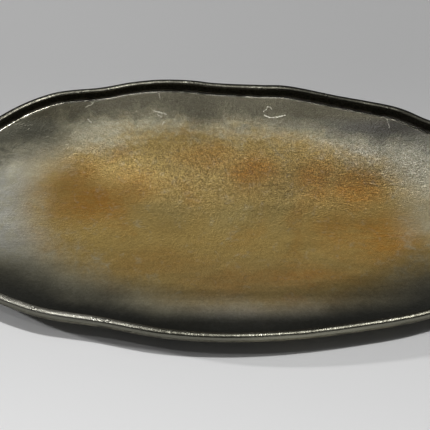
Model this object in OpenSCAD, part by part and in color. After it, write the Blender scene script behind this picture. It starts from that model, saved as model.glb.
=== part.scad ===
// Large oval serving tray, cast in one piece with a low upright rim.
// Hand-formed, softly cornered outline; dished floor; stands on six stick-on felt pads.
// Millimetres, +Z up, long side on X. Origin on the table under the middle of the tray.

/* [Tray] */
// Overall length along X
tray_l = 610; // [520:5:700]
// Overall width along Y
tray_w = 342; // [290:2:400]
// Overall height, pads included
tray_h = 28; // [27:0.5:34]
// Thickness of the cast floor
floor_t = 4.2; // [3.5:0.1:5]

/* [Rim] */
// Mean width of the flat top of the rim
rim_w = 5; // [4:0.1:6]
// How much that width wanders round the hand-dressed edge
rim_wander = 0.6; // [0:0.1:0.9]
// Rounding on both edges of the rim top
rim_r = 1.4; // [0.8:0.1:1.7]
// Height of the upright outer band
band_h = 7; // [5:0.5:9]
// Radius that rolls the band into the underside
belly_r = 9; // [6:0.5:10]
// Height of the inner wall above the floor's edge
wall_h = 12; // [10:0.5:13]
// Draft of the inner wall over its height
wall_draft = 0.8; // [0.3:0.1:1.5]
// Fillet between the inner wall and the floor
cove_r = 3.2; // [2:0.1:4]

/* [Feet] */
// Diameter of a felt pad
pad_d = 26; // [20:1:30]
// Thickness of a felt pad
pad_t = 3; // [2:0.1:4]
// Thickness of the adhesive disc above it
glue_t = 0.4; // [0.3:0.1:0.6]
// How much smaller the adhesive disc is than its pad, across
glue_inset = 2; // [1:0.5:3]
// Gap between a pad and the edge of the flat base
pad_margin = 4; // [3:1:15]

/* [Hidden] */
pad_n = 6;
pad_phase = 30;
base_z = pad_t + glue_t;
floor_mid_z = base_z + floor_t;
floor_edge_z = tray_h - wall_h;
belly_cz = tray_h - band_h;
cove_out = rim_w + wall_draft + cove_r;
flat_share = 0.62;
dish_power = 1.6;
curve_steps = 4;
arc_steps = 3;
slope_steps = 6;
disc_fn = 72;
cast_metal = [0.46, 0.41, 0.28];
felt_grey = [0.20, 0.20, 0.19];
glue_tan = [0.78, 0.72, 0.58];

// Corners and mid-sides of the hand-formed outline, seen from above, anticlockwise
outline_knots = [
  [305, -18], [301, 28], [282, 66], [250, 92], [213, 110],
  [180, 129], [121, 145], [68, 160], [36, 162],
  [-13, 165], [-40, 169], [-73, 170], [-105, 166],
  [-137, 158], [-190, 149], [-238, 119], [-277, 74],
  [-300, 22], [-304, -32], [-281, -83], [-237, -117],
  [-182, -142], [-121, -154], [-60, -167], [0, -171],
  [62, -168], [124, -159], [184, -146], [238, -124],
  [278, -92], [299, -56]
];

// Point at share t between b and c on the smooth curve through a, b, c, d
function curve_at(a, b, c, d, t) =
  0.5 * (2 * b + (c - a) * t + (2 * a - 5 * b + 4 * c - d) * t * t
  + (3 * b - a - 3 * c + d) * t * t * t);

// Closed smooth curve through all the knots
function smooth_loop(knots, steps) =
  let (n = len(knots)) [
    for (i = [0 : n - 1])
      for (s = [0 : steps - 1])
        curve_at(knots[(i + n - 1) % n], knots[i], knots[(i + 1) % n],
                 knots[(i + 2) % n], s / steps)
  ];

// The same curve, centred and stretched to exactly l by w
function fit_loop(pts, l, w) =
  let (xs = [for (p = pts) p.x], ys = [for (p = pts) p.y])
  let (mid = [max(xs) + min(xs), max(ys) + min(ys)] / 2)
  let (k = [l / (max(xs) - min(xs)), w / (max(ys) - min(ys))])
  [for (p = pts) [(p.x - mid.x) * k.x, (p.y - mid.y) * k.y]];

// Unit vectors pointing into the loop at each of its points
function inward(pts) =
  let (n = len(pts)) [
    for (i = [0 : n - 1])
      let (d = pts[(i + 1) % n] - pts[(i + n - 1) % n])
      [-d.y, d.x] / norm(d)
  ];

outline = fit_loop(smooth_loop(outline_knots, curve_steps), tray_l, tray_w);
outline_in = inward(outline);
ring_n = len(outline);

// Extra rim width at point i: three slow waves, so the rim looks dressed by hand
function wander(i) =
  let (a = 360 * i / ring_n)
  rim_wander * (0.5 * sin(2 * a + 40) + 0.3 * sin(5 * a) + 0.2 * sin(9 * a + 70));

// One ring at height z: moved in by d, then shrunk to share s; w = share of the wander
function ring(d, z, s = 1, w = 0) = [
  for (i = [0 : ring_n - 1])
    let (p = outline[i] + outline_in[i] * (d + w * wander(i)))
    [p.x * s, p.y * s, z]
];

// Rings that follow an arc in the section, centre (cd, cz), from angle a0 to a1
function arc_rings(cd, cz, r, a0, a1, w = 0) = [
  for (k = [0 : arc_steps])
    let (a = a0 + (a1 - a0) * k / arc_steps)
    ring(cd + r * cos(a), cz + r * sin(a), 1, w)
];

// Rise of the dish, from 0 at the flat middle to 1 at the cove
function rise(t) = pow(t, dish_power);

// Underside slope, from the flat base out to the belly curve
under_rings = [
  for (k = [0 : slope_steps - 1])
    let (t = k / slope_steps)
    ring(belly_r, base_z + (belly_cz - belly_r - base_z) * rise(t),
         flat_share + (1 - flat_share) * t)
];

// Dished floor, from the cove in to the flat middle
floor_rings = [
  for (k = [1 : slope_steps])
    let (t = 1 - k / slope_steps)
    ring(cove_out, floor_mid_z + (floor_edge_z - floor_mid_z) * rise(t),
         flat_share + (1 - flat_share) * t, 1)
];

// Skin of a solid lofted through closed rings, first ring at the bottom
module loft(rings) {
  n = len(rings[0]);
  m = len(rings);
  pts = [for (r = rings) each r];
  sides = [
    for (j = [0 : m - 2])
      for (i = [0 : n - 1])
        let (a = j * n + i, b = j * n + (i + 1) % n)
        each [[a, a + n, b + n], [a, b + n, b]]
  ];
  bottom = [for (i = [0 : n - 1]) i];
  top = [for (i = [0 : n - 1]) m * n - 1 - i];
  polyhedron(points = pts, faces = concat([bottom, top], sides));
}

module tray_body() {
  outer_edge = arc_rings(rim_r, tray_h - rim_r, rim_r, 180, 90);
  inner_edge = arc_rings(rim_w - rim_r, tray_h - rim_r, rim_r, 90, 0, 1);
  cove = arc_rings(cove_out, floor_edge_z + cove_r, cove_r, 180, 270, 1);
  belly = arc_rings(belly_r, belly_cz, belly_r, 270, 180);
  color(cast_metal)
    loft(concat(under_rings, belly, outer_edge, inner_edge, cove, floor_rings));
}

// Stands its children at the place of pad k, just inside the edge of the flat base
module at_pad(k, z) {
  a = pad_phase + (k - 1) * 360 / pad_n;
  edge_gap = pad_d / 2 + pad_margin;
  reach_x = flat_share * (tray_l / 2 - belly_r) - edge_gap;
  reach_y = flat_share * (tray_w / 2 - belly_r) - edge_gap;
  translate([reach_x * cos(a), reach_y * sin(a), z])
    children();
}

module felt_pad(k) {
  color(felt_grey)
    at_pad(k, 0)
      cylinder(h = pad_t, d = pad_d, $fn = disc_fn);
}

module adhesive_disc(k) {
  color(glue_tan)
    at_pad(k, pad_t)
      cylinder(h = glue_t, d = pad_d - glue_inset, $fn = disc_fn);
}

tray_body();
adhesive_disc(1);  // adhesive_disc_1
adhesive_disc(2);  // adhesive_disc_2
adhesive_disc(3);  // adhesive_disc_3
adhesive_disc(4);  // adhesive_disc_4
adhesive_disc(5);  // adhesive_disc_5
adhesive_disc(6);  // adhesive_disc_6
felt_pad(1);  // felt_pad_1
felt_pad(2);  // felt_pad_2
felt_pad(3);  // felt_pad_3
felt_pad(4);  // felt_pad_4
felt_pad(5);  // felt_pad_5
felt_pad(6);  // felt_pad_6
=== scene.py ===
"""Large oval cast tray with an antiqued silver, gold and copper finish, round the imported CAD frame."""

import math

import bpy
import numpy as np
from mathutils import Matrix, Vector


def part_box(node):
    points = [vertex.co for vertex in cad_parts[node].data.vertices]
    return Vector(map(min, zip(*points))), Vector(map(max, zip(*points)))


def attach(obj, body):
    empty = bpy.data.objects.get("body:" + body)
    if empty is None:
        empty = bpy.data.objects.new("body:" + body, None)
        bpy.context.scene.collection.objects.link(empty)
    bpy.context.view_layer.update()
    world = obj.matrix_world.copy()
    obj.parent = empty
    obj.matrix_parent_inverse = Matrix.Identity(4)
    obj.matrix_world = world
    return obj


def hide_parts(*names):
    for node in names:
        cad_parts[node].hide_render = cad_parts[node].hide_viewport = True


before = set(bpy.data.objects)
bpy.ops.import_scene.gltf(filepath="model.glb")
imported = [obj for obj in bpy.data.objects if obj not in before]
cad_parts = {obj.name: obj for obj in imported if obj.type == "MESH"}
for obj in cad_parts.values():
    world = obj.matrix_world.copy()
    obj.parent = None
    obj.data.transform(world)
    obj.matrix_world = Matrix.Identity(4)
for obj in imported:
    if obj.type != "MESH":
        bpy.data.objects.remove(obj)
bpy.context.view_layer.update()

MM = 0.001

# ---------------------------------------------------------------- dimensions, in mm
# The hand-formed outline, the same knots as the CAD model's, anticlockwise from the +X end
OUTLINE_KNOTS = [
    (305, -18), (301, 28), (282, 66), (250, 92), (213, 110),
    (180, 129), (121, 145), (68, 160), (36, 162),
    (-13, 165), (-40, 169), (-73, 170), (-105, 166),
    (-137, 158), (-190, 149), (-238, 119), (-277, 74),
    (-300, 22), (-304, -32), (-281, -83), (-237, -117),
    (-182, -142), (-121, -154), (-60, -167), (0, -171),
    (62, -168), (124, -159), (184, -146), (238, -124),
    (278, -92), (299, -56),
]  # fmt: skip
AROUND = 840  # points round the outline
RIM_W = 6.4  # width of the rim's top
SHOULDER_R = 1.5  # rounding of the rim's outer edge
RIM_R = 2.0  # rounding of the rim's inner edge
ARCH = math.radians(22)  # slope where the gently arched top meets those roundings
STEEPEST = math.pi / 2 - 0.06  # slope where the roundings stop, just short of upright
SHOULDER_TILT = math.radians(-46)  # steeper than this, the outer rounding takes the painted dark line
BAND_H = 7.0  # height of the upright outer band
BELLY_R = 9.0  # radius that rolls the band under
WALL_H = 12.0  # rim top to the floor's edge
WALL_DRAFT = 0.2  # how far the wall leans in from top to bottom
COVE_R = 2.7  # hollow between wall and floor
FLAT_SHARE = 0.62  # share of the outline where the flat middle starts
DISH_POWER = 1.6  # how the floor rises from there to the cove
FLOOR_T = 4.2  # floor thickness at the middle

body_lo, body_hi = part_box("tray_body")
TOP_Z = body_hi[2] / MM
BASE_Z = body_lo[2] / MM
FLOOR_MID_Z = BASE_Z + FLOOR_T
FLOOR_EDGE_Z = TOP_Z - WALL_H
BELLY_Z = TOP_Z - BAND_H
COVE_OUT = RIM_W + WALL_DRAFT + COVE_R
HALF = np.array([(body_hi[0] - body_lo[0]) / 2, (body_hi[1] - body_lo[1]) / 2]) / MM


# ---------------------------------------------------------------- smooth seeded noise
class Noise:
    """Smooth lattice noise in three dimensions, the same on every run."""

    def __init__(self, seed, size=32):
        self.size = size
        self.table = np.random.default_rng(seed).uniform(-1, 1, (size, size, size))

    def __call__(self, p, scale):
        """Value from -1 to 1 at points p (n, 3) in mm, for features about `scale` mm across."""
        q = np.asarray(p, float) / scale
        cell = np.floor(q).astype(int)
        f = q - cell
        f = f * f * f * (f * (f * 6 - 15) + 10)
        out = np.zeros(len(q))
        for corner in range(8):
            step = np.array([corner & 1, corner >> 1 & 1, corner >> 2 & 1])
            idx = (cell + step) % self.size
            weight = np.prod(np.where(step, f, 1 - f), axis=1)
            out += weight * self.table[idx[:, 0], idx[:, 1], idx[:, 2]]
        return out


# ---------------------------------------------------------------- the tray body
def catmull(knots, steps):
    """Closed smooth curve through the knots."""
    p = np.array(knots, float)
    t = (np.arange(steps) / steps)[:, None]
    spans = []
    for i in range(len(p)):
        a, b, c, d = p[i - 1], p[i], p[(i + 1) % len(p)], p[(i + 2) % len(p)]
        spans.append(
            0.5
            * (
                2 * b
                + (c - a) * t
                + (2 * a - 5 * b + 4 * c - d) * t**2
                + (3 * b - a - 3 * c + d) * t**3
            )
        )
    return np.concatenate(spans)


def even_loop(pts, count):
    """The closed loop resampled at even spacing."""
    ring = np.vstack([pts, pts[:1]])
    run = np.r_[0, np.cumsum(np.linalg.norm(np.diff(ring, axis=0), axis=1))]
    at = np.linspace(0, run[-1], count, endpoint=False)
    return np.stack([np.interp(at, run, ring[:, k]) for k in (0, 1)], axis=1)


def fit_loop(pts):
    """The loop centred and stretched to the CAD body's length and width."""
    lo, hi = pts.min(axis=0), pts.max(axis=0)
    return (pts - (lo + hi) / 2) * HALF * 2 / (hi - lo)


outline = even_loop(fit_loop(catmull(OUTLINE_KNOTS, 40)), AROUND)
side = np.roll(outline, -2, axis=0) - np.roll(outline, 2, axis=0)
inward = np.stack([-side[:, 1], side[:, 0]], axis=1)
inward /= np.linalg.norm(inward, axis=1)[:, None]
turn = 2 * np.pi * np.arange(AROUND) / AROUND
around3 = np.stack([outline[:, 0], outline[:, 1], np.zeros(AROUND)], axis=1)

hand = Noise(11)
wander = 0.6 * (
    0.5 * np.sin(2 * turn + 0.7) + 0.3 * np.sin(5 * turn) + 0.2 * np.sin(9 * turn + 1.2)
)
wander += 0.35 * hand(around3, 26) + 0.12 * hand(around3 + 70, 9)
dip = 0.30 * hand(around3 + 300, 60) + 0.12 * hand(around3 + 500, 14) - 0.25

rings, zones, outward = [], [], []


def add_ring(inset, z, share=1.0, w=0.0, d=0.0, zone="under", turned_out=0.0):
    """One loop of points: w and d are its shares of the rim's wander and of its dips."""
    xy = (outline + inward * (inset + w * wander)[:, None]) * share
    rings.append(np.column_stack([xy, z + d * dip]))
    zones.append(zone)
    outward.append(turned_out)


UNDER_FLAT_RINGS, UNDER_SLOPE_RINGS = 16, 24
for k in range(UNDER_FLAT_RINGS):
    share = FLAT_SHARE * (0.02 + 0.98 * k / UNDER_FLAT_RINGS)
    add_ring(BELLY_R, BASE_Z, share)
for k in range(UNDER_SLOPE_RINGS):
    t = k / UNDER_SLOPE_RINGS
    z = BASE_Z + (BELLY_Z - BELLY_R - BASE_Z) * t**DISH_POWER
    add_ring(BELLY_R, z, FLAT_SHARE + (1 - FLAT_SHARE) * t)
for a in np.radians(np.linspace(270, 180, 14)):
    add_ring(BELLY_R * (1 + math.cos(a)), BELLY_Z + BELLY_R * math.sin(a), zone="belly")
for z in np.linspace(BELLY_Z + 0.8, TOP_Z - SHOULDER_R - 0.7, 8):
    add_ring(0, z, d=0.6, zone="band")
# the rim's top: a gentle arch between a round outer shoulder and a tighter inner edge
shoulder_w = SHOULDER_R * (1 - math.sin(ARCH))
edge_w = RIM_R * (1 - math.sin(ARCH))
arch_r = (RIM_W - shoulder_w - edge_w) / 2 / math.sin(ARCH)
arch_drop = arch_r * (1 - math.cos(ARCH))
OUTER_WANDER = 0.2  # the shoulder's share of the rim's wander; the inner edge has all of it
for tilt in np.linspace(-STEEPEST, -ARCH, 14):
    inset = SHOULDER_R * (1 + math.sin(tilt))
    fall = arch_drop + SHOULDER_R * (math.cos(ARCH) - math.cos(tilt))
    kind = "shoulder" if tilt < SHOULDER_TILT else "crown"
    add_ring(inset, TOP_Z - fall, 1, OUTER_WANDER, 1, kind, 1.0)
for tilt in np.linspace(-ARCH, ARCH, 13)[1:-1]:
    inset = shoulder_w + arch_r * (math.sin(ARCH) + math.sin(tilt))
    fall = arch_r * (1 - math.cos(tilt))
    # leaning: how much of the painted dark line the far rim's top takes, more towards its outer side
    leaning = max(0.0, (5 - math.degrees(tilt)) / 30)
    share_w = OUTER_WANDER + (1 - OUTER_WANDER) * inset / RIM_W
    add_ring(inset, TOP_Z - fall, 1, share_w, 1, "crown", leaning)
for tilt in np.linspace(ARCH, STEEPEST, 9):
    inset = RIM_W - RIM_R * (1 - math.sin(tilt))
    fall = arch_drop + RIM_R * (math.cos(ARCH) - math.cos(tilt))
    add_ring(inset, TOP_Z - fall, 1, 1, 1, "crown")
wall_top = TOP_Z - arch_drop - RIM_R * math.cos(ARCH)
for t in np.linspace(0.08, 1, 9):
    z = wall_top + (FLOOR_EDGE_Z + COVE_R - wall_top) * t
    add_ring(RIM_W + WALL_DRAFT * t, z, 1, 1, 0.5 * (1 - t), "wall")
for a in np.radians(np.linspace(188, 270, 12)):
    z = FLOOR_EDGE_Z + COVE_R * (1 + math.sin(a))
    add_ring(COVE_OUT + COVE_R * math.cos(a), z, 1, 1, 0, "cove")
FLOOR_SLOPE_RINGS, FLOOR_FLAT_RINGS = 56, 60
for k in range(1, FLOOR_SLOPE_RINGS + 1):
    t = 1 - k / FLOOR_SLOPE_RINGS
    z = FLOOR_MID_Z + (FLOOR_EDGE_Z - FLOOR_MID_Z) * t**DISH_POWER
    add_ring(COVE_OUT, z, FLAT_SHARE + (1 - FLAT_SHARE) * t, t, 0, "floor")
for k in range(1, FLOOR_FLAT_RINGS):
    share = FLAT_SHARE * (1 - k / FLOOR_FLAT_RINGS)
    add_ring(COVE_OUT, FLOOR_MID_Z, share, 0, 0, "floor")

points = np.concatenate(rings)
zone = np.repeat(np.array(zones), AROUND)
on_floor, on_band, under = zone == "floor", zone == "band", zone == "under"
beneath = under | (zone == "belly")


def edge_distance(pts):
    """Distance in mm from the tray's outer edge, in plan."""
    loop = outline[::2]
    out = np.empty(len(pts))
    for start in range(0, len(pts), 4000):
        part = pts[start : start + 4000, None, :2] - loop[None]
        out[start : start + 4000] = np.sqrt((part**2).sum(axis=2).min(axis=1))
    return out


edge_mm = np.clip(edge_distance(points) - COVE_OUT, 0, None)
edge_mm[~on_floor] = 0

# hand-formed unevenness of the floor, and the pitted cast skin elsewhere
swell = Noise(23)
fade = np.clip(edge_mm / 12, 0, 1)
points[:, 2] += on_floor * fade * (
    0.30 * swell(points, 70) + 0.14 * swell(points + 900, 28) + 0.05 * swell(points + 50, 9)
)
lift = points[:, 2] - BASE_Z
fade = np.clip(1 - lift / 9, 0, 1) * np.clip(lift / 1.5, 0, 1)
points[:, 2] += under * fade * 0.25 * swell(points + 400, 34)
sink = 0.10 * swell(points + 200, 16) + 0.05 * swell(points + 600, 5)
points[:, :2] += (on_band * sink)[:, None] * np.tile(inward, (len(rings), 1))

# faces: the two middles are closed with a fan round one point each
count = len(rings)
row = np.arange(AROUND)
nxt = (row + 1) % AROUND
one_band = np.column_stack([row, nxt, AROUND + nxt, AROUND + row])
quads = np.concatenate([one_band + j * AROUND for j in range(count - 1)])
bottom_mid, top_mid = len(points), len(points) + 1
mid_pts = np.array([[0, 0, BASE_Z], [0, 0, points[-AROUND:, 2].mean()]])
fan_low = np.column_stack([nxt, row, np.full(AROUND, bottom_mid)])
last = (count - 1) * AROUND
fan_high = np.column_stack([last + row, last + nxt, np.full(AROUND, top_mid)])
verts = np.vstack([points, mid_pts]) * MM
mesh = bpy.data.meshes.new("cast_tray")
mesh.from_pydata(verts.tolist(), [], quads.tolist() + fan_low.tolist() + fan_high.tolist())
mesh.validate()
mesh.shade_smooth()


def add_weight(name, values):
    """Stores one number per point, for the material to read."""
    layer = mesh.attributes.new(name, "FLOAT", "POINT")
    layer.data.foreach_set("value", np.r_[values, values[0], values[-1]].astype("f"))


add_weight("edge_mm", np.where(on_floor, edge_mm, np.where(under, 200.0, 0.0)))
for name in ("crown", "wall", "cove", "shoulder"):
    add_weight(name, (zone == name) * 1.0)
add_weight("outside", (beneath | on_band) * 1.0)
add_weight("below", beneath * 1.0)
# outward: mask for the painted dark line on the far rim's top
add_weight("outward", np.repeat(np.array(outward), AROUND))


def add_object(name, data):
    obj = bpy.data.objects.new(name, data)
    bpy.context.scene.collection.objects.link(obj)
    return obj


tray = add_object("cast_tray", mesh)
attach(tray, "root")
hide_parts("tray_body")


# ---------------------------------------------------------------- material helpers
class Graph:
    """A thin wrapper that adds and links shader nodes in one call."""

    def __init__(self, name):
        self.mat = bpy.data.materials.new(name)
        self.mat.use_nodes = True
        self.tree = self.mat.node_tree
        self.bsdf = self.tree.nodes["Principled BSDF"]

    def put(self, socket, value):
        """Links the value if it is an output, and sets it if it is a number or a colour."""
        if hasattr(value, "node"):
            self.tree.links.new(value, socket)
        elif isinstance(value, tuple) and len(socket.default_value) == 4:
            socket.default_value = (*value, 1.0)
        else:
            socket.default_value = value

    def node(self, kind, inputs=None, **settings):
        made = self.tree.nodes.new(kind)
        for key, value in settings.items():
            setattr(made, key, value)
        for key, value in (inputs or {}).items():
            self.put(made.inputs[key], value)
        return made

    def object_coords(self):
        return self.node("ShaderNodeTexCoord").outputs["Object"]

    def weight(self, name):
        return self.node("ShaderNodeAttribute", attribute_name=name).outputs["Fac"]

    def math(self, op, a, b=0.0, c=0.0, clamp=False):
        made = self.node("ShaderNodeMath", {0: a, 1: b, 2: c}, operation=op)
        made.use_clamp = clamp
        return made.outputs[0]

    def add(self, a, b):
        return self.math("ADD", a, b)

    def sub(self, a, b):
        return self.math("SUBTRACT", a, b)

    def mul(self, a, b, clamp=False):
        return self.math("MULTIPLY", a, b, clamp=clamp)

    def most(self, a, b):
        return self.math("MAXIMUM", a, b)

    def rest(self, a):
        """What is left of 1."""
        return self.math("SUBTRACT", 1.0, a)

    def vector(self, op, a, b=None, **settings):
        """Vector maths node; its vector comes out of [0], its number out of ["Value"]."""
        inputs = {0: a} if b is None else {0: a, 1: b}
        return self.node("ShaderNodeVectorMath", inputs, operation=op, **settings).outputs

    def between(self, value, lo, hi, out_lo=0.0, out_hi=1.0):
        """Smooth step of value from lo..hi to out_lo..out_hi."""
        return self.node(
            "ShaderNodeMapRange",
            {"Value": value, "From Min": lo, "From Max": hi, "To Min": out_lo, "To Max": out_hi},
            interpolation_type="SMOOTHSTEP",
        ).outputs["Result"]

    def noise(self, coords, scale, detail, rough, distortion=0.0):
        settings = {"Scale": scale, "Detail": detail, "Roughness": rough, "Distortion": distortion}
        return self.node("ShaderNodeTexNoise", {"Vector": coords, **settings}).outputs["Fac"]

    def mix(self, factor, a, b, blend="MIX"):
        made = self.node("ShaderNodeMix", data_type="RGBA", blend_type=blend)
        self.put(made.inputs["Factor"], factor)
        self.put(made.inputs["A"], a)
        self.put(made.inputs["B"], b)
        return made.outputs["Result"]

    def blob(self, coords, centre, size):
        """Soft round patch, 1 at centre and 0 at about size away; both in metres."""
        offset = self.vector("SUBTRACT", coords, (*centre, 0.0))[0]
        flat = self.vector("MULTIPLY", offset, (1 / size[0], 1 / size[1], 0.0))[0]
        return self.between(self.vector("LENGTH", flat)["Value"], 1.0, 0.1)

    def stroke(self, coords, start, end, width):
        """Thin line from start to end, 1 on it and 0 at width away; all in metres."""
        run = (end[0] - start[0], end[1] - start[1])
        length2 = run[0] ** 2 + run[1] ** 2
        reach = self.vector("SUBTRACT", coords, (*start, 0.0))[0]
        reach = self.vector("MULTIPLY", reach, (1.0, 1.0, 0.0))[0]
        along_run = (run[0] / length2, run[1] / length2, 0.0)
        t = self.mul(self.vector("DOT_PRODUCT", reach, along_run)["Value"], 1.0, clamp=True)
        nearest = self.node(
            "ShaderNodeVectorMath", {0: (*run, 0.0), "Scale": t}, operation="SCALE"
        ).outputs[0]
        return self.between(self.vector("DISTANCE", reach, nearest)["Value"], width, 0.0)


def grey(level):
    return (level, level, level)


# ---------------------------------------------------------------- antiqued cast metal
SOOT = (0.016, 0.015, 0.011)
OLIVE = (0.075, 0.072, 0.052)
SLATE = (0.044, 0.044, 0.037)
SILVER = (0.355, 0.350, 0.298)
WARM_SILVER = (0.33, 0.302, 0.192)
GOLD = (0.305, 0.213, 0.068)
COPPER = (0.295, 0.152, 0.032)
BRIGHT = (0.62, 0.60, 0.52)
FOOT = (0.42, 0.40, 0.33)
SATIN = (0.185, 0.182, 0.145)
SATIN_BRIGHT = (0.345, 0.338, 0.262)
SATIN_END = (0.262, 0.257, 0.200)
WALL_BLACK = (0.20, 0.20, 0.165)
WORN_GOLD = (0.262, 0.240, 0.112)
FAR_DARK = (0.046, 0.042, 0.027)
FAR_RIGHT_DARK = (0.036, 0.034, 0.027)
SKIN_DARK = (0.062, 0.060, 0.046)
SKIN_LIGHT = (0.185, 0.178, 0.140)
RIM_LIGHT = (0.305, 0.297, 0.243)
RIM_MID = (0.155, 0.150, 0.118)
RIM_DULL = (0.12, 0.115, 0.09)
GLINT_GAIN = (3.3, 3.4, 4.2)  # how much lighter than the colour round them the grain's painted glints are

# rubbed-in marks of the patina, as centre, half size and strength, in metres
COPPER_MARKS = [
    ((-0.168, 0.044), (0.058, 0.044), 0.85),
    ((-0.138, 0.012), (0.070, 0.046), 1.0),
    ((-0.100, 0.028), (0.050, 0.040), 0.6),
    ((0.027, 0.055), (0.040, 0.038), 1.0),
    ((-0.024, 0.074), (0.050, 0.028), 0.6),
    ((0.134, 0.028), (0.046, 0.044), 1.0),
    ((0.090, 0.040), (0.036, 0.044), 0.8),
    ((0.160, -0.038), (0.068, 0.048), 1.0),
    ((0.118, -0.026), (0.062, 0.040), 0.6),
    ((0.074, -0.084), (0.090, 0.026), 0.8),
    ((0.010, -0.092), (0.090, 0.026), 0.6),
    ((-0.070, -0.070), (0.090, 0.026), 0.4),
]
WORN_MARKS = [
    ((0.004, -0.010), (0.052, 0.034), 0.55),
    ((-0.060, -0.002), (0.048, 0.026), 0.40),
    ((0.060, -0.004), (0.034, 0.044), 0.35),
    ((-0.186, 0.058), (0.044, 0.040), 0.60),
]
SOOTY_MARKS = [
    ((-0.222, 0.122), (0.108, 0.078), 1.0),
    ((0.225, 0.116), (0.120, 0.070), 1.0),
    ((0.236, 0.088), (0.066, 0.048), 0.9),
    ((0.150, 0.138), (0.100, 0.050), 1.0),
    ((0.075, 0.152), (0.140, 0.040), 1.0),
    ((-0.070, 0.168), (0.200, 0.040), 1.0),
    ((0.215, -0.108), (0.120, 0.060), 0.7),
    ((-0.235, -0.098), (0.110, 0.060), 0.8),
]

# small casting and tool marks: a polyline each, in metres, with its half width and strength
CAST_MARKS = [
    ([(0.040, 0.1315), (0.046, 0.1285), (0.054, 0.129), (0.063, 0.131)], 0.0009, 0.9),
    ([(0.0425, 0.1385), (0.0435, 0.1415), (0.0465, 0.1415), (0.0485, 0.139)], 0.0007, 0.7),
    ([(0.040, 0.136), (0.0425, 0.1385)], 0.0006, 0.5),
    ([(-0.079, 0.138), (-0.073, 0.136), (-0.066, 0.1335)], 0.0010, 0.6),
    ([(-0.070, 0.119), (-0.068, 0.124)], 0.0009, 0.5),
    ([(-0.075, 0.133), (-0.071, 0.130)], 0.0009, 0.5),
    ([(-0.0745, 0.164), (-0.073, 0.153)], 0.0007, 0.35),
    ([(-0.156, 0.148), (-0.151, 0.150), (-0.146, 0.146)], 0.0011, 0.35),
    ([(-0.153, 0.141), (-0.147, 0.144), (-0.142, 0.151)], 0.0010, 0.3),
    ([(-0.150, 0.125), (-0.146, 0.121)], 0.0009, 0.4),
    ([(0.171, 0.128), (0.174, 0.110)], 0.0005, 0.5),
]

g = Graph("antiqued_cast_metal")


def where(*ramps, amount=1.0):
    """Product of smooth ramps, each (value, from, to), with two end values if not 0 and 1."""
    both = g.between(*ramps[0])
    for ramp in ramps[1:]:
        both = g.mul(both, g.between(*ramp))
    return both if amount == 1.0 else g.mul(both, amount)


pos = g.object_coords()
edge, crown, wall, cove, out, below, shoulder, turned_out = (
    g.weight(name)
    for name in ("edge_mm", "crown", "wall", "cove", "outside", "below", "shoulder", "outward")
)
place = g.node("ShaderNodeSeparateXYZ", {0: pos})
along, across = place.outputs["X"], place.outputs["Y"]
far_side = where((across, -0.06, 0.10))
near_side = where((across, -0.04, -0.13))
right_end = where((along, 0.155, 0.205), (across, -0.050, -0.020))
far_right = where((along, 0.06, 0.16), (across, 0.080, 0.112))

# noises from broad to fine: the number is how many features there are in a metre
cloud = g.noise(pos, 16, 4, 0.6)
smoke = g.noise(pos, 34, 5, 0.62, distortion=0.8)
cloud_fine = g.noise(pos, 60, 4, 0.6)
mottle = g.noise(pos, 95, 5, 0.65, distortion=0.5)
clump = g.noise(pos, 260, 2, 0.6)
speck = g.noise(pos, 420, 3, 0.6)
grain = g.noise(pos, 850, 2, 0.5)
glint = g.noise(pos, 980, 2, 0.5, distortion=0.3)
# long faint strokes of the rubbing cloth, and sanding lines round the band
stroke = g.noise(g.vector("MULTIPLY", pos, (22.0, 260.0, 40.0))[0], 1.0, 4, 0.6, distortion=0.6)
sanded = g.noise(g.vector("MULTIPLY", pos, (30.0, 30.0, 900.0))[0], 1.0, 4, 0.6)
# the patina marks' edges wander
wobble = g.node("ShaderNodeTexNoise", {"Vector": pos, "Scale": 26.0, "Detail": 4.0})
wobble = g.vector("SUBTRACT", wobble.outputs["Color"], (0.5, 0.5, 0.5))[0]
wobble = g.vector("MULTIPLY", wobble, (0.050, 0.036, 0.0))[0]
rubbed = g.vector("ADD", pos, wobble)[0]
# the casting marks are uneven on a much smaller scale
jitter = g.node("ShaderNodeTexNoise", {"Vector": pos, "Scale": 420.0, "Detail": 2.0})
jitter = g.vector("SUBTRACT", jitter.outputs["Color"], (0.5, 0.5, 0.5))[0]
jitter = g.vector("MULTIPLY", jitter, (0.0032, 0.0032, 0.0))[0]
shaky = g.vector("ADD", pos, jitter)[0]

# the coarse grain shows beyond a line that bends away at the left end
bend = g.mul(g.math("MINIMUM", g.add(along, 0.05), 0.0), 0.4)
grainy = where((g.add(across, bend), -0.020, 0.055))
coarse = g.mul(grainy, where((across, 0.065, 0.115, 1.0, 0.36)))
coarse = g.mul(coarse, where((along, 0.14, 0.19, 1.0, 0.6)))
coarse = g.mul(coarse, where((along, -0.185, -0.130, 0.25, 1.0)))


def marks(places, base=0.0):
    """The strongest of a list of soft marks at each point."""
    best = base
    for centre, size, strength in places:
        best = g.most(best, g.mul(g.blob(rubbed, centre, size), strength))
    return best


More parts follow.
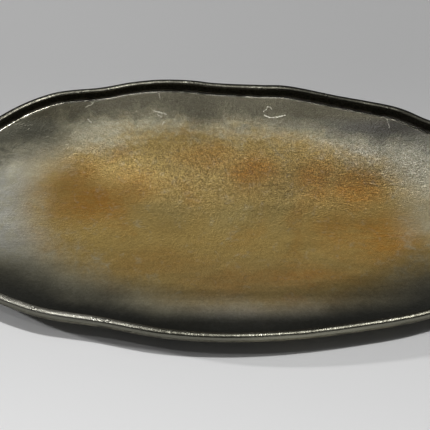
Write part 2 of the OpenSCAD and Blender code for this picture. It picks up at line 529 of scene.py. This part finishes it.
# how far the gold reaches: a slightly turned oval, blurred and broken
GOLD_MID = (0.006, -0.008, 0.0)
GOLD_HALF = (0.220, 0.118)
turned = g.node(
    "ShaderNodeVectorRotate",
    {"Vector": pos, "Center": GOLD_MID, "Angle": math.radians(8)},
    rotation_type="Z_AXIS",
).outputs[0]
oval = g.vector("SUBTRACT", turned, GOLD_MID)[0]
oval = g.vector("MULTIPLY", oval, (1 / GOLD_HALF[0], 1 / GOLD_HALF[1], 0.0))[0]
oval = g.vector("LENGTH", oval)["Value"]
broken = g.math("MULTIPLY_ADD", cloud, 0.6, -0.3)
broken = g.add(broken, g.math("MULTIPLY_ADD", mottle, 0.5, -0.25))
broken = g.mul(broken, where((across, -0.06, -0.10, 1.0, 0.35), (along, -0.12, -0.17, 1.0, 0.5)))
gilding = where((g.add(oval, broken), 1.22, 0.78), (along, -0.245, -0.190))
gilding = g.mul(gilding, g.rest(g.mul(right_end, 0.55)))

copper_cloud = g.noise(pos, 22, 3, 0.55, distortion=0.4)
copper = marks(COPPER_MARKS, where((copper_cloud, 0.52, 0.74), amount=0.5))
copper = g.mul(copper, where((mottle, 0.34, 0.56, 0.6, 1.0)))
copper = g.mul(copper, where((stroke, 0.32, 0.60, 0.7, 1.1)), clamp=True)

# the blackened edge: by distance from the rim, in mm, with smoky borders and a few wide marks
soft_edge = g.add(edge, g.math("MULTIPLY_ADD", cloud, 30.0, -15.0))
near_reach = where((g.math("ABSOLUTE", along), 0.03, 0.13, -5.0, 2.0))
soft_edge = g.sub(soft_edge, g.mul(near_side, near_reach))
soft_edge = g.add(soft_edge, g.mul(far_side, where((smoke, 0.34, 0.66, -10.0, 10.0))))
soot = where((soft_edge, 54.0, 6.0))
soot = g.rest(g.mul(g.rest(soot), g.rest(g.mul(marks(SOOTY_MARKS), 0.85))))

# the bare metal is warmer on the far side, the right and the near left
warmth = g.most(where((across, 0.02, 0.11)), where((along, 0.05, 0.15), amount=0.8))
warmth = g.most(warmth, where((across, -0.035, -0.085), (along, 0.0, -0.08), amount=0.75))
silver = g.mix(warmth, SILVER, WARM_SILVER)
silver = g.mix(where((mottle, 0.38, 0.68), amount=0.5), silver, WARM_SILVER)
# worn patches of the gilding let the silver through
worn = g.add(where((mottle, 0.54, 0.72), amount=0.26), g.mul(near_side, 0.10))
gilt = g.mix(worn, g.mix(copper, GOLD, COPPER), silver)
gilt = g.mix(g.mul(marks(WORN_MARKS), 0.5), gilt, WORN_GOLD)
colour = g.mix(gilding, silver, gilt)

# painted shade and painted light, region by region, that even out how the lamps fall across the floor:
# positive amounts darken, negative ones lighten
painted_shades = [
    where((across, -0.03, -0.11), (along, -0.20, -0.02, 0.28, 1.0), amount=0.38),
    where((across, -0.04, -0.13), (along, -0.08, -0.14), amount=0.20),
    where((across, -0.106, -0.122), (across, -0.146, -0.128), amount=-0.65),
    where((across, -0.126, -0.142), amount=0.28),
    where((across, -0.134, -0.146), amount=0.16),
    where((across, -0.016, 0.004), (across, 0.046, 0.026), (along, 0.10, 0.05), amount=0.16),
    where((across, 0.005, 0.060), amount=0.21),
    where((across, 0.090, 0.118), (along, -0.17, -0.03, 0.3, 1.0), amount=0.26),
    where((across, 0.112, 0.140), amount=0.26),
    where((along, 0.0, 0.15), amount=0.20),
    where((along, -0.185, -0.22), amount=0.14),
    where((along, -0.14, -0.19), (across, 0.030, 0.065), amount=-0.32),
    where((along, -0.04, -0.12), (across, -0.085, -0.02), (across, 0.115, 0.035), amount=-0.37),
    where((along, -0.03, 0.03), (across, -0.04, 0.01), (across, 0.085, 0.035), amount=0.22),
    g.mul(right_end, where((across, 0.06, 0.03), amount=-0.18)),
    g.mul(far_right, 0.22),
    # this row offsets the painted glints' brightness where the grain is coarse; the clump and stroke
    # rows below are random tone of the finish
    g.mul(coarse, where((along, 0.04, 0.12, 0.115, 0.05))),
    where((clump, 0.35, 0.60, 0.04, -0.02)),
    where((stroke, 0.35, 0.62, 0.07, -0.03)),
]
shade = 0.012
for region in painted_shades:
    shade = g.add(shade, region)
# the painted shade and light as one factor that multiplies the colour
lit = g.math("MULTIPLY_ADD", shade, -0.8, 1.0)
lit = g.node("ShaderNodeCombineXYZ", {0: lit, 1: lit, 2: lit}).outputs[0]
colour = g.mix(1.0, colour, lit, "MULTIPLY")
dark = g.mix(near_side, OLIVE, SLATE)
dark = g.mix(far_right, dark, FAR_RIGHT_DARK)
dark = g.mix(where((across, 0.112, 0.130)), dark, FAR_DARK)
dark = g.mix(where((across, -0.136, -0.148), amount=0.24), dark, SOOT)
colour = g.mix(soot, colour, dark)

# pin-prick grain: dark pits, and light points that run together into short threads, partly the grain's
# own tone and partly painted glints, strongest where the grain is coarse
grain_depth = g.math("MULTIPLY_ADD", coarse, 0.90, 0.10)
pits = g.mul(where((grain, 0.56, 0.40), (across, 0.080, 0.110, 1.0, 0.25)), grain_depth)
colour = g.mix(g.mul(pits, 0.42), colour, SOOT)
glint_thread = where((g.math("ABSOLUTE", g.sub(glint, 0.5)), 0.11, 0.01), (clump, 0.38, 0.58, 0.65, 1.0))
painted_glint = g.mix(1.0, colour, GLINT_GAIN, "MULTIPLY")
colour = g.mix(g.mul(glint_thread, grain_depth), colour, painted_glint)
ridge = 0.0
for path, width, strength in CAST_MARKS:
    for start, end in zip(path, path[1:]):
        ridge = g.most(ridge, g.mul(g.stroke(shaky, start, end, width), strength))
ridge = g.mul(ridge, where((speck, 0.34, 0.56, 0.35, 1.0)))
colour = g.mix(ridge, colour, BRIGHT)

# wall and cove
colour = g.mix(wall, colour, g.mix(where((speck, 0.30, 0.70, 0.35, 0.85)), SOOT, WALL_BLACK))
foot = g.mix(where((mottle, 0.44, 0.66)), FOOT, OLIVE)
foot = g.mix(where((along, -0.22, -0.15, 0.36, 0.62)), foot, SOOT)
colour = g.mix(cove, colour, foot)

# outer band and underside
satin = g.mix(where((along, -0.02, 0.06)), SATIN, SATIN_BRIGHT)
satin = g.mix(where((along, 0.11, 0.15)), satin, SATIN_END)
band = g.mix(where((sanded, 0.35, 0.65), amount=0.30), satin, OLIVE)
band = g.mix(where((speck, 0.62, 0.74), amount=0.45), band, SOOT)
skin = g.mix(where((mottle, 0.36, 0.66)), SKIN_DARK, SKIN_LIGHT)
skin = g.mix(where((cloud, 0.42, 0.70), amount=0.5), skin, WARM_SILVER)
skin = g.mix(where((speck, 0.58, 0.70), amount=0.6), skin, SOOT)
colour = g.mix(out, colour, g.mix(below, band, skin))

# rim: painted highlight at the near left; painted shade dulls the rim's highlights at the near right and
# all along the far side
far_rim = where((across, 0.0, 0.06))
rim = g.mix(where((speck, 0.36, 0.60)), RIM_LIGHT, RIM_MID)
rim = g.mix(where((cloud_fine, 0.42, 0.62), amount=0.8), rim, RIM_DULL)
# painted highlight: the near-left rim made brighter
rim = g.mix(where((along, -0.05, -0.16), (across, 0.0, -0.08), amount=0.8), rim, BRIGHT)
# painted shade: the near-right rim and the far rim made darker to dim their highlights
rim = g.mix(where((along, 0.02, 0.08), (across, 0.0, -0.08), amount=0.45), rim, SOOT)
rim = g.mix(g.mul(far_rim, where((along, 0.02, 0.08, 0.15, 0.70))), rim, SOOT)
colour = g.mix(g.most(crown, shoulder), colour, rim)
# painted dark line where the rim rolls over to the outside: a painted dark reflection on the shoulder,
# and on the outer half of the far rim's top
line = g.mul(shoulder, where((along, 0.0, 0.06, 0.84, 0.0)))
line = g.most(line, g.mul(shoulder, where((along, 0.12, 0.16), amount=0.3)))
line = g.most(line, g.mul(far_rim, g.mul(turned_out, 1.6, clamp=True)))
colour = g.mix(line, colour, SOOT)

rough = where((speck, 0.3, 0.7, 0.30, 0.35))
rough = g.mix(grainy, g.add(rough, 0.12), rough)
rough = g.mix(cove, rough, grey(0.24))
rough = g.mix(crown, rough, where((cloud_fine, 0.3, 0.7, 0.26, 0.36)))

relief = g.mix(coarse, where((across, 0.00, -0.09, 0.16, 0.06)), grey(0.95))
relief = g.mix(crown, relief, where((along, -0.12, 0.0, 0.38, 0.20)))
relief = g.mix(out, relief, g.mix(below, grey(0.18), grey(0.60)))
height = g.add(grain, g.mul(speck, g.math("MULTIPLY_ADD", coarse, -0.55, 0.9)))
height = g.add(g.mul(height, relief), g.mul(ridge, 0.12))
bump = g.node("ShaderNodeBump", {"Strength": 1.0, "Distance": 0.0010, "Height": height})

g.put(g.bsdf.inputs["Base Color"], colour)
g.put(g.bsdf.inputs["Roughness"], rough)
g.put(g.bsdf.inputs["Normal"], bump.outputs["Normal"])
g.bsdf.inputs["Metallic"].default_value = 1.0
mesh.materials.append(g.mat)


# ---------------------------------------------------------------- felt and adhesive
FELT_DARK, FELT_LIGHT = (0.030, 0.030, 0.028), (0.075, 0.074, 0.070)
FOAM_DARK, FOAM_LIGHT = (0.62, 0.54, 0.40), (0.74, 0.67, 0.53)


def felt_material():
    f = Graph("pressed_felt")
    fibre = f.noise(f.object_coords(), 900, 5, 0.7, distortion=1.5)
    tint = f.mix(f.between(fibre, 0.35, 0.65), FELT_DARK, FELT_LIGHT)
    f.put(f.bsdf.inputs["Base Color"], tint)
    f.bsdf.inputs["Roughness"].default_value = 0.95
    f.bsdf.inputs["Sheen Weight"].default_value = 0.4
    fuzz = f.node("ShaderNodeBump", {"Strength": 1.0, "Distance": 0.0003, "Height": fibre})
    f.put(f.bsdf.inputs["Normal"], fuzz.outputs["Normal"])
    return f.mat


def adhesive_material():
    f = Graph("adhesive_foam")
    cells = f.noise(f.object_coords(), 1500, 3, 0.6)
    tint = f.mix(f.between(cells, 0.35, 0.65), FOAM_DARK, FOAM_LIGHT)
    f.put(f.bsdf.inputs["Base Color"], tint)
    f.put(f.bsdf.inputs["Roughness"], f.between(cells, 0.3, 0.7, 0.5, 0.7))
    dents = f.node("ShaderNodeBump", {"Strength": 0.6, "Distance": 0.0001, "Height": cells})
    f.put(f.bsdf.inputs["Normal"], dents.outputs["Normal"])
    return f.mat


DISC_STEPS = 96


def soft_disc(node, edge_r, ragged, material):
    """A punched disc, its edge rounded by edge_r and ragged by up to twice ragged, in mm."""
    lo, hi = (np.array(corner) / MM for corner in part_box(node))
    centre, radius = (lo + hi) / 2, (hi[0] - lo[0]) / 2
    step = np.arange(DISC_STEPS)
    after = (step + 1) % DISC_STEPS
    a = 2 * np.pi * step / DISC_STEPS
    rim = np.stack([np.cos(a), np.sin(a)], axis=1)
    cut = Noise(sum(map(ord, node)))
    profile = [(radius * f, lo[2]) for f in (0.3, 0.6, 0.85)]
    turns = np.linspace(-math.pi / 2, 0, 7), np.linspace(0, math.pi / 2, 7)
    for z_mid, turn in zip((lo[2] + edge_r, hi[2] - edge_r), turns):
        for t in turn:
            profile.append((radius - edge_r + edge_r * math.cos(t), z_mid + edge_r * math.sin(t)))
    profile += [(radius * f, hi[2]) for f in (0.85, 0.6, 0.3)]
    loops = []
    for r, z in profile:
        here = np.column_stack([rim * r, np.full(DISC_STEPS, z)])
        wear = np.clip((r - 0.8 * radius) / (0.2 * radius), 0, 1)
        nibble = ragged * (0.6 * cut(here * [1, 1, 0] + 40, 4) + 0.4 * cut(here + 90, 0.9) - 1)
        here[:, :2] += rim * (wear * nibble)[:, None]
        loops.append(here + [centre[0], centre[1], 0])
    body = np.concatenate(loops)
    faces = []
    for k in range(len(loops) - 1):
        low, high = k * DISC_STEPS, (k + 1) * DISC_STEPS
        faces += np.column_stack([low + step, low + after, high + after, high + step]).tolist()
    top = (len(loops) - 1) * DISC_STEPS
    ends = np.array([[centre[0], centre[1], lo[2]], [centre[0], centre[1], hi[2]]])
    n = len(body)
    faces += [[b, a, n] for a, b in zip(step.tolist(), after.tolist())]
    faces += [[top + a, top + b, n + 1] for a, b in zip(step.tolist(), after.tolist())]
    made = bpy.data.meshes.new(f"{node}_soft")
    made.from_pydata((np.vstack([body, ends]) * MM).tolist(), [], faces)
    made.validate()
    made.shade_smooth()
    made.materials.append(material)
    obj = add_object(f"{node}_soft", made)
    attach(obj, "root")
    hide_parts(node)


felt, adhesive = felt_material(), adhesive_material()
for name in sorted(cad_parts):
    if name.startswith("felt_pad"):
        soft_disc(name, 0.7, 0.22, felt)
    elif name.startswith("adhesive_disc"):
        soft_disc(name, 0.12, 0.12, adhesive)

# ---------------------------------------------------------------- studio
STAGE_R = 8.0
STAGE_SIDES = 64
stage_mesh = bpy.data.meshes.new("studio_floor")
ring = np.linspace(0, 2 * np.pi, STAGE_SIDES, endpoint=False)
corners = [(STAGE_R * math.cos(a), STAGE_R * math.sin(a), 0.0) for a in ring]
stage_mesh.from_pydata(corners, [], [tuple(range(STAGE_SIDES))])
stage = add_object("studio_floor", stage_mesh)
# pale paper with painted light falloff: darker away from the camera, and a little to the right
s = Graph("pale_paper")
s_place = s.node("ShaderNodeSeparateXYZ", {0: s.object_coords()})
paper = s.mix(s.between(s_place.outputs["Y"], -0.36, 0.24), grey(0.785), grey(0.428))
side_light_falloff = s.mix(s.between(s_place.outputs["X"], -0.3, 0.3), grey(1.07), grey(0.96))
paper = s.mix(1.0, paper, side_light_falloff, "MULTIPLY")
s.put(s.bsdf.inputs["Base Color"], paper)
s.bsdf.inputs["Roughness"].default_value = 0.9
s.bsdf.inputs["Specular IOR Level"].default_value = 0.1
stage_mesh.materials.append(s.mat)

world = bpy.data.worlds.new("studio")
bpy.context.scene.world = world
world.use_nodes = True
w_tree = world.node_tree
w_back = w_tree.nodes["Background"]
w_pos = w_tree.nodes.new("ShaderNodeTexCoord")
w_sep = w_tree.nodes.new("ShaderNodeSeparateXYZ")
w_ramp = w_tree.nodes.new("ShaderNodeValToRGB")
w_tree.links.new(w_pos.outputs["Generated"], w_sep.inputs[0])
w_tree.links.new(w_sep.outputs["Z"], w_ramp.inputs[0])
w_tree.links.new(w_ramp.outputs["Color"], w_back.inputs["Color"])
# pale at the horizon, darker overhead
for stop, (height, level) in zip(w_ramp.color_ramp.elements, ((0.0, 0.40), (0.20, 0.06))):
    stop.position = height
    stop.color = (*grey(level), 1)


def aim(obj, target):
    obj.rotation_mode = "QUATERNION"
    back = obj.location - Vector(target)
    obj.rotation_quaternion = back.to_track_quat("Z", "Y")


def sun(name, place, energy, spread):
    """A sun that shines from place towards the origin; spread is its width in degrees."""
    data = bpy.data.lights.new(name, "SUN")
    data.energy = energy
    data.angle = math.radians(spread)
    obj = add_object(name, data)
    obj.location = place
    obj.visible_camera = False
    aim(obj, (0, 0, 0))


# a hard key almost overhead with a soft halo, a faint kicker, and a low lamp off the left end
KEY_FROM = (8 / 28, 5 / 28, 1)
sun("key", KEY_FROM, 1.68, 2.2)
sun("key_halo", KEY_FROM, 0.33, 20)
sun("kicker", (-0.43, 0.02, 0.9), 0.22, 3)
sun("low_left", (-1.15, 0.3, 0.5), 1.45, 3)

# ---------------------------------------------------------------- camera
TARGET = Vector((-0.013, -0.0235, 0.028))
ELEVATION = math.radians(50)
DISTANCE = 1.35
FRAME_W = 0.430  # width that the picture takes in at that distance
SENSOR_W = 36
cam_data = bpy.data.cameras.new("camera")
cam_data.sensor_width = SENSOR_W
cam_data.lens = SENSOR_W * DISTANCE / FRAME_W
camera = add_object("camera", cam_data)
camera.location = TARGET + DISTANCE * Vector((0, -math.cos(ELEVATION), math.sin(ELEVATION)))
aim(camera, TARGET)
bpy.context.scene.camera = camera
bpy.context.scene.view_settings.view_transform = "Standard"
